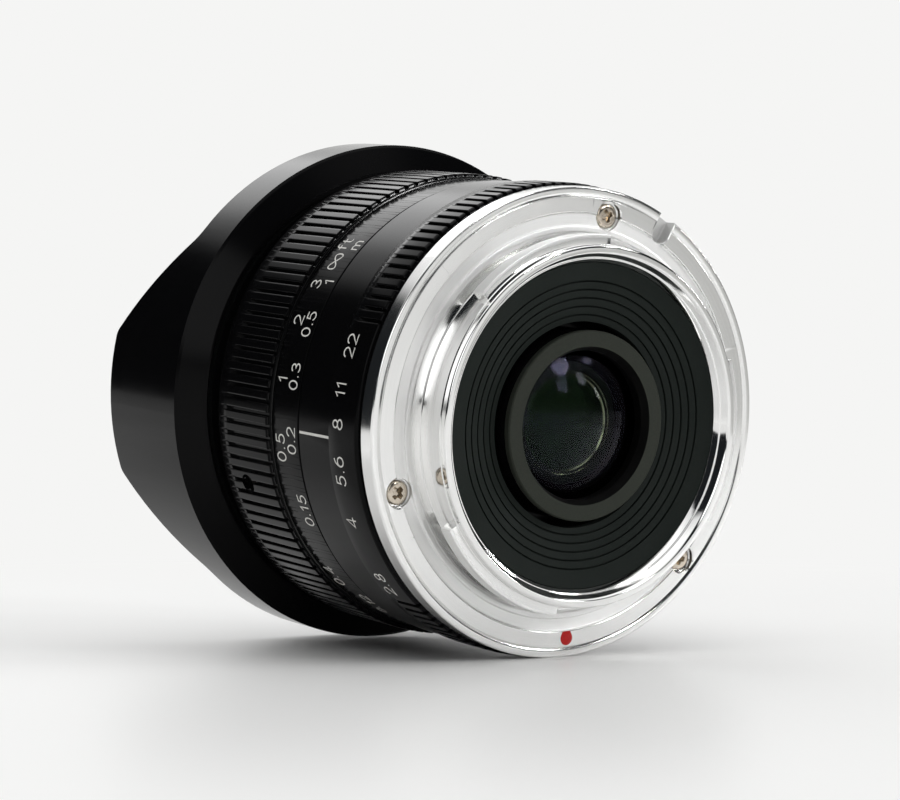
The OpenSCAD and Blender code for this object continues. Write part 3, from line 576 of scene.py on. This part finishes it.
# focus ring: tapered lip, milled grip that stands proud, bead and scale band
gripRing = {
    "bore": 25.45, "top": 28.65, "band": 27.95, "ribs": 121, "first": 0.14,
    "screwHoles": (15.7, 135.7, 255.7), "holeY": -28.0, "holeRadius": 1.23, "holeReach": (24.5, 30),
}
bore, top, band = gripRing["bore"], gripRing["top"], gripRing["band"]
stations = [(-34.5, 27.2), (-33.5, 27.7), (-32.85, top - 0.06), (-32.72, top), (-30.86, top),
            (-30.84, top, 0), (-22.0, top, 0), (-21.9, top, 0.1), (-21.9, 27.9), (-21.75, 27.9),
            (-21.75, 28.22), (-21.7, 28.27), (-21.6, 28.27), (-21.55, 28.22), (-21.55, 27.7),
            (-21.42, 27.7), (-21.42, band - 0.08), (-21.34, band), (-16.0, band),
            (-15.92, band - 0.08), (-15.9, band - 0.6), (-15.75, band - 0.6), (-15.75, bore),
            (-34.5, bore)]
pitch = 360 / gripRing["ribs"]
angles = [gripRing["first"] + pitch * i for i in range(gripRing["ribs"])]
columns = ribColumns(top, angles, pitch)
grip = addPiece("focus_grip", ringSolid(columns, stations), "black_anodised_rings",
                "focus_ring_set", crease=60)
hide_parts("focus_ring")

# aperture ring: ribs that run out to the rear, all round but for the window with the numbers
stopRing = {"bore": 26.45, "top": 28.4, "ribsPerTurn": 122, "first": 44.78, "last": 331.1,
            "windowStep": 1.5}
bore, top = stopRing["bore"], stopRing["top"]
stations = [(-8.6, top - 0.1), (-8.5, top), (-7.06, top), (-7.04, top, 0), (-3.15, top, 0),
            (-2.84, top, 0.32), (-2.81, 27.6), (-2.81, bore), (-8.6, bore)]
pitch, step = 360 / stopRing["ribsPerTurn"], stopRing["windowStep"]
count = int((stopRing["last"] - stopRing["first"]) / pitch) + 1
angles = [stopRing["first"] + pitch * i for i in range(count)]
count = int((stopRing["first"] + 360 - angles[-1] - pitch) / step)
window = [angles[-1] + pitch + step * i for i in range(count)]
columns = ribColumns(top, angles, pitch, window)
stops = addPiece("aperture_grip", ringSolid(columns, stations), "black_anodised_rings",
                 "aperture_ring_set", crease=60)
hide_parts("aperture_ring")
print("grip rings built")

# holes of the dog screws through the focus ring
circle = [math.radians(9 * i) for i in range(40)]
holeRadius, holeY = gripRing["holeRadius"], gripRing["holeY"]
cut = bmesh.new()
for angle in gripRing["screwHoles"]:
    rows = []
    for reach in gripRing["holeReach"]:
        rows.append([around(reach, angle + math.degrees(holeRadius * math.cos(t) / reach),
                            holeY + holeRadius * math.sin(t)) for t in circle])
    addSkin(cut, rows, False)
cutAway(grip, cut)
for piece in (grip, stops):
    evenShading(piece)
print("screw holes drilled")

# bayonet ring: turned face with a rim line and three low steps, polished neck, three tabs.
# corners are radius, y and rounding; the last value is the radius that the corner has on a tab.
# tabEdge is degrees in from a tab's end, and the share of its height there. levels are y and
# growth, as addPillar takes them; milled are the limits of the notch's faces
mountRing = {
    "corners": [(18.6, -2.2, 0.05, 0), (28.1, -2.2, 0.08, 0), (28.1, -0.18, 0.05, 0),
                (27.92, 0, 0.05, 0), (27.2, 0, 0.22, 0), (26.9, -0.22, 0.02, 0),
                (26.86, 0, 0.06, 0), (24.98, 0, 0.12, 0), (24.86, -0.3, 0.1, 0),
                (23.45, -0.3, 0.08, 0), (23.36, -0.02, 0.1, 0), (22.74, -0.02, 0.12, 0),
                (22.62, -0.26, 0.1, 0), (21.2, -0.26, 0.16, 0), (21.2, 2.1, 0.04, 0),
                (21.5, 2.1, 0.1, 22.65), (21.5, 3.98, 0.1, 22.65), (21.5, 4.0, 0.01, 0),
                (21.4, 4.1, 0.05, 0), (21.4, 4.85, 0.06, 0), (21.25, 5.0, 0.06, 0),
                (20.55, 5.0, 0.06, 0), (20.35, 4.8, 0.06, 0), (19.95, 4.1, 0.05, 0),
                (19.75, 4.1, 0.05, 0), (19.35, 3.4, 0.05, 0), (19.35, -1.6, 0.04, 0),
                (18.6, -1.6, 0.04, 0)],
    "tabs": ((26.5, 76.5), (144, 196), (261, 312)),
    "tabEdge": ((-0.04, 0), (0.04, 0.95), (0.24, 1)), "turnStep": 1.5, "leastStep": 0.5,
    "screws": (13.5, 132.9, 255.2), "screwCircle": 25.0, "boreRadius": 1.75,
    "boreLevels": [(-1.15, -0.14), (-0.74, -0.14), (-0.72, 0), (-0.13, 0), (0.03, 0.16)],
    "notchAngle": 236.7, "notchFoot": 25.9, "notchHalf": 1.2, "notchReach": 30,
    "notchLevels": [(-1.7, -0.12), (-1.62, 0), (-0.2, 0), (-0.07, 0.06), (0.03, 0.2)],
    "milledSlack": 0.1, "milledFrom": 24.5, "milledTo": 28.09, "milledY": (-1.75, -0.01),
    "dropAngle": 88.3, "dropMiddle": 25.85, "dropRadius": 0.86, "dropTail": 25.02,
    "dropTailHalf": 0.54, "pocketLevels": [(-0.2, 0), (0.03, 0.02)],
    "dropLevels": [(-0.2, -0.01), (-0.03, -0.01), (0.0, -0.05), (0.02, -0.13), (0.035, -0.27),
                   (0.04, -0.4)],
}
plain = softened([corner[:3] for corner in mountRing["corners"]])
tabbed = softened([(onTab or radius, y, size) for radius, y, size, onTab in mountRing["corners"]])
columns = []
for start, end in mountRing["tabs"]:
    for offset, share in mountRing["tabEdge"]:
        columns += [(start + offset, share), (end - offset, share)]
for angle in [mountRing["turnStep"] * i for i in range(240)]:
    if all(abs(angle - other) > mountRing["leastStep"] for other, share in columns):
        onTab = any(start < angle < end for start, end in mountRing["tabs"])
        columns.append((angle, float(onTab)))
columns.sort()
rows = []
for one, two in zip(plain, tabbed):
    mixed = [(one.lerp(two, share), angle) for angle, share in columns]
    rows.append([around(point.x, angle, point.y) for point, angle in mixed])
bayonet = addPiece("bayonet_ring", addSkin(bmesh.new(), rows, True), "turned_chrome_plate",
                   "barrel", crease=60)
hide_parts("mount_ring")


# outlines on the mount face: radial and crosswise mm, grown by the given amount
def discOutline(radius):
    return [(mountRing["screwCircle"] + radius * math.cos(t), radius * math.sin(t)) for t in circle]


def boreOutline(grow):
    return discOutline(mountRing["boreRadius"] + grow)


def notchOutline(grow):
    reach, end = mountRing["notchHalf"] + grow, mountRing["notchReach"]
    bend = [math.radians(90 + 5 * i) for i in range(37)]
    points = [(mountRing["notchFoot"] + reach * math.cos(t), reach * math.sin(t)) for t in bend]
    return points + [(end, -reach), (end, reach)]


def dropOutline(grow):
    reach = mountRing["dropRadius"] + grow
    bulb = [math.radians(10 * i - 120) for i in range(25)]
    points = [(mountRing["dropMiddle"] + reach * math.cos(t), reach * math.sin(t)) for t in bulb]
    tail = mountRing["dropTailHalf"] + grow
    return points + [(mountRing["dropTail"] - grow, tail), (mountRing["dropTail"] - grow, -tail)]


cut = bmesh.new()
for angle in mountRing["screws"]:
    addPillar(cut, boreOutline, mountRing["boreLevels"], angle)
addPillar(cut, notchOutline, mountRing["notchLevels"], mountRing["notchAngle"])
addPillar(cut, dropOutline, mountRing["pocketLevels"], mountRing["dropAngle"])
cutAway(bayonet, cut)
bayonet.data.materials.append(finishes["milled_chrome_plate"])
outward = around(1 / mm, mountRing["notchAngle"], 0)
across = around(1 / mm, mountRing["notchAngle"] + 90, 0)
low, high = mountRing["milledY"]
for face in bayonet.data.polygons:  # the notch's walls and floor keep the mill's finish
    middle = face.center / mm
    inNotch = abs(middle.dot(across)) < mountRing["notchHalf"] + mountRing["milledSlack"]
    inNotch = inNotch and middle.dot(outward) > mountRing["milledFrom"]
    if inNotch and low < middle.y < high and middle.xz.length < mountRing["milledTo"]:
        face.material_index = 1
evenShading(bayonet)

# index drop: enamel that has settled into its pocket with a low crown
drop = addPillar(bmesh.new(), dropOutline, mountRing["dropLevels"], mountRing["dropAngle"])
drop = addPiece("index_drop", drop, "red_enamel", "barrel", crease=60)
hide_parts("mount_index")

# mount screws: pan heads below the face, each with a cross recess; crown and cross are depths
# below the head's top, and the growth there
panHead = {
    "radius": 1.45, "top": -0.4, "foot": -1.14, "turn": 30,
    "crown": [(0.3, 0), (0.16, -0.04), (0.06, -0.14), (0.01, -0.3), (0, -0.5)],
    "cross": [(0.62, -0.14), (0.05, 0), (-0.05, 0.1)],
    "wing": 0.8, "wingHalf": 0.25, "wingGrow": 0.6, "cornerOut": 0.1, "cornerGrow": 0.4,
}


def headOutline(grow):
    return discOutline(panHead["radius"] + grow)


def crossOutline(grow):
    long, half = panHead["wing"] + grow, panHead["wingHalf"] + grow * panHead["wingGrow"]
    corner = half + panHead["cornerOut"] + grow * panHead["cornerGrow"]
    points = []
    for turn in range(4):
        a = math.radians(panHead["turn"] + 90 * turn)
        for u, w in ((long, -half), (long, half), (corner, corner)):
            points.append((mountRing["screwCircle"] + u * math.cos(a) - w * math.sin(a),
                           u * math.sin(a) + w * math.cos(a)))
    return points


headLevels = [(panHead["foot"], 0)]
headLevels += [(panHead["top"] - depth, grow) for depth, grow in panHead["crown"]]
crossLevels = [(panHead["top"] - depth, grow) for depth, grow in panHead["cross"]]
for number, angle in enumerate(mountRing["screws"], 1):
    head = addPillar(bmesh.new(), headOutline, headLevels, angle)
    head = addPiece("pan_head_screw_%d" % number, head, "nickel_plated_steel", "barrel",
                    crease=60)
    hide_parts("mount_screw_%d" % number)
    cutAway(head, addPillar(bmesh.new(), crossOutline, crossLevels, angle))
    evenShading(head)
print("bayonet, index drop and screws built")

# rear cell: a black lip between the eighth and ninth glass, with bare edges that show through
# the glass as pale rings
cellLip = {
    "lip": [(6.95, -1.70, 0.03), (5.70, -1.41, 0.02), (5.70, -1.10, 0.02), (6.95, -1.10, 0.03)],
    "edges": [[(5.72, -1.40, 0.01), (5.60, -1.37, 0.01), (5.56, -1.33, 0.01), (5.70, -1.18, 0.01),
               (5.72, -1.18, 0.01)],
              [(6.04, -1.12, 0.005), (6.0, -1.12, 0.005), (6.0, -1.085, 0.005),
               (6.04, -1.065, 0.005)]],
}
addPiece("cell_lip", addRing(bmesh.new(), cellLip["lip"]), "matt_black_paint", "optics_carriage",
         crease=40)
build = bmesh.new()
for corners in cellLip["edges"]:
    addRing(build, corners)
addPiece("cell_edge", build, "nickel_plated_steel", "optics_carriage", crease=40)


# numerals: single strokes with round ends, drawn on a unit height and laid on the rings
def arc(x, y, wide, high, start, end, steps=12):
    turns = [math.radians(start + (end - start) * i / steps) for i in range(steps + 1)]
    return [(x + wide * math.cos(t), y + high * math.sin(t)) for t in turns]


# the sideways eight: a flattened lemniscate
def endless(t):
    spread = 1 + math.sin(t) ** 2
    x = 0.65 + 0.62 * math.cos(t) / spread ** 0.5
    return x, 0.5 + 1.05 * math.sin(t) * math.cos(t) / spread


glyphs = {  # width, then strokes; a stroke that ends where it starts is closed
    "0": (0.60, [arc(0.3, 0.5, 0.29, 0.5, 90, 450, 28)]),
    "1": (0.30, [[(0.0, 0.76), (0.22, 1.0), (0.22, 0.0)]]),
    "2": (0.60, [arc(0.3, 0.7, 0.29, 0.3, 165, -40) + [(0.0, 0.0), (0.6, 0.0)]]),
    "3": (0.58, [arc(0.28, 0.755, 0.25, 0.245, 150, -90)
                 + arc(0.28, 0.255, 0.3, 0.255, 90, -150)[1:]]),
    "4": (0.64, [[(0.46, 0.0), (0.46, 1.0), (0.0, 0.27), (0.64, 0.27)]]),
    "5": (0.58, [[(0.53, 1.0), (0.11, 1.0)] + arc(0.27, 0.33, 0.3, 0.33, 132, -150)]),
    "6": (0.60, [arc(0.6, 0.34, 0.59, 0.66, 105, 180, 8)
                 + arc(0.3, 0.32, 0.29, 0.32, 180, 520, 22)[1:]]),
    "8": (0.58, [arc(0.29, 0.75, 0.23, 0.25, 0, 360, 22), arc(0.29, 0.25, 0.29, 0.25, 0, 360, 24)]),
    ".": (0.10, [[(0.05, 0.03), (0.05, 0.07)]]),
    "f": (0.34, [arc(0.3, 0.8, 0.17, 0.2, 70, 180, 6) + [(0.13, 0.0)],
                 [(0.0, 0.64), (0.32, 0.64)]]),
    "t": (0.34, [[(0.12, 0.92)] + arc(0.29, 0.18, 0.17, 0.18, 180, 290, 6),
                 [(0.0, 0.64), (0.32, 0.64)]]),
    "m": (0.80, [[(0.0, 0.66), (0.0, 0.0)], arc(0.2, 0.44, 0.2, 0.22, 180, 0) + [(0.4, 0.0)],
                 arc(0.6, 0.44, 0.2, 0.22, 180, 0) + [(0.8, 0.0)]]),
    "~": (1.30, [[endless(math.radians(7.5 * i)) for i in range(49)]]),
}
# mm: what stands above the ring and what lies in it; endTurns are the angles of the points of
# a round end, and miter keeps sharp bends from growing long
paintStroke = {"width": 0.185, "raised": 0.015, "sunk": 0.05, "endTurns": (45, 78), "miter": 0.6}


# lays one stroke on a cylinder as a closed strip: path in mm, reading towards falling angles
def addStroke(build, points, closed, angle, y, radius):
    half, raised, sunk = paintStroke["width"] / 2, paintStroke["raised"], paintStroke["sunk"]
    path = [Vector(p) for p in points]
    count = len(path)
    sections = []
    for i, point in enumerate(path):
        before = path[(i - 1) % count] if closed or i > 0 else None
        after = path[(i + 1) % count] if closed or i < count - 1 else None
        one = (point - before if before is not None else after - point).normalized()
        two = (after - point).normalized() if after is not None else one
        side = Vector((-one.y - two.y, one.x + two.x)).normalized()
        reach = half / max(side.dot(Vector((-one.y, one.x))), paintStroke["miter"])
        sections.append((point, side * reach))
    if not closed:  # round ends
        for end, inner in ((0, 1), (-1, -2)):
            point, side = sections[end]
            out = (path[end] - path[inner]).normalized()
            for turn in paintStroke["endTurns"]:
                a = math.radians(turn)
                section = (point + out * math.sin(a) * half, side * math.cos(a))
                sections.insert(0 if end == 0 else len(sections), section)
    rows = []
    for point, side in sections:
        corners = ((point + side, raised), (point - side, raised),
                   (point - side, -sunk), (point + side, -sunk))
        rows.append([around(radius + lift, angle - math.degrees(p.x / radius), y - p.y)
                     for p, lift in corners])
    addSkin(build, rows, closed)


def addWord(build, word, angle, y, height, radius, gap=0.26):
    total = sum(glyphs[c][0] for c in word) + gap * (len(word) - 1)
    start = -total / 2
    for c in word:
        wide, strokes = glyphs[c]
        for points in strokes:
            closed = (Vector(points[0]) - Vector(points[-1])).length < 1e-6
            ends = points[:-1] if closed else points
            flat = [((start + x) * height, (v - 0.5) * height) for x, v in ends]
            addStroke(build, flat, closed, angle, y, radius)
        start += wide + gap


# the numbers of the two scales: each row has its y, the height of its signs and their angles
scaleMarks = {
    "aperture_numbers": {"body": "aperture_ring_set", "radius": stopRing["top"], "rows": [
        (-6.6, 1.87, {"22": -22.3, "11": -11.9, "8": -3.7, "5.6": 7.4, "4": 20.2, "2.8": 38.4})]},
    "distance_numbers": {"body": "focus_ring_set", "radius": gripRing["band"], "rows": [
        (-19.84, 1.8, {"ft": -49.4, "3": -36.8, "2": -26.9, "1": -12.0, "0.5": 4.9, "0.4": 42.0}),
        (-17.43, 1.7, {"m": -49.4, "1": -37.8, "0.5": -26.2, "0.3": -13.0, "0.2": 2.7,
                       "0.15": 20.7, "0.12": 53.0}),
        (-18.93, 1.9, {"~": -43.8})]},
}
for name, scale in scaleMarks.items():
    build = bmesh.new()
    for y, height, signs in scale["rows"]:
        for word, angle in signs.items():
            addWord(build, word, angle, y, height, scale["radius"])
    addPiece(name, build, "white_paint_fill", scale["body"], crease=40)
print("scales marked")
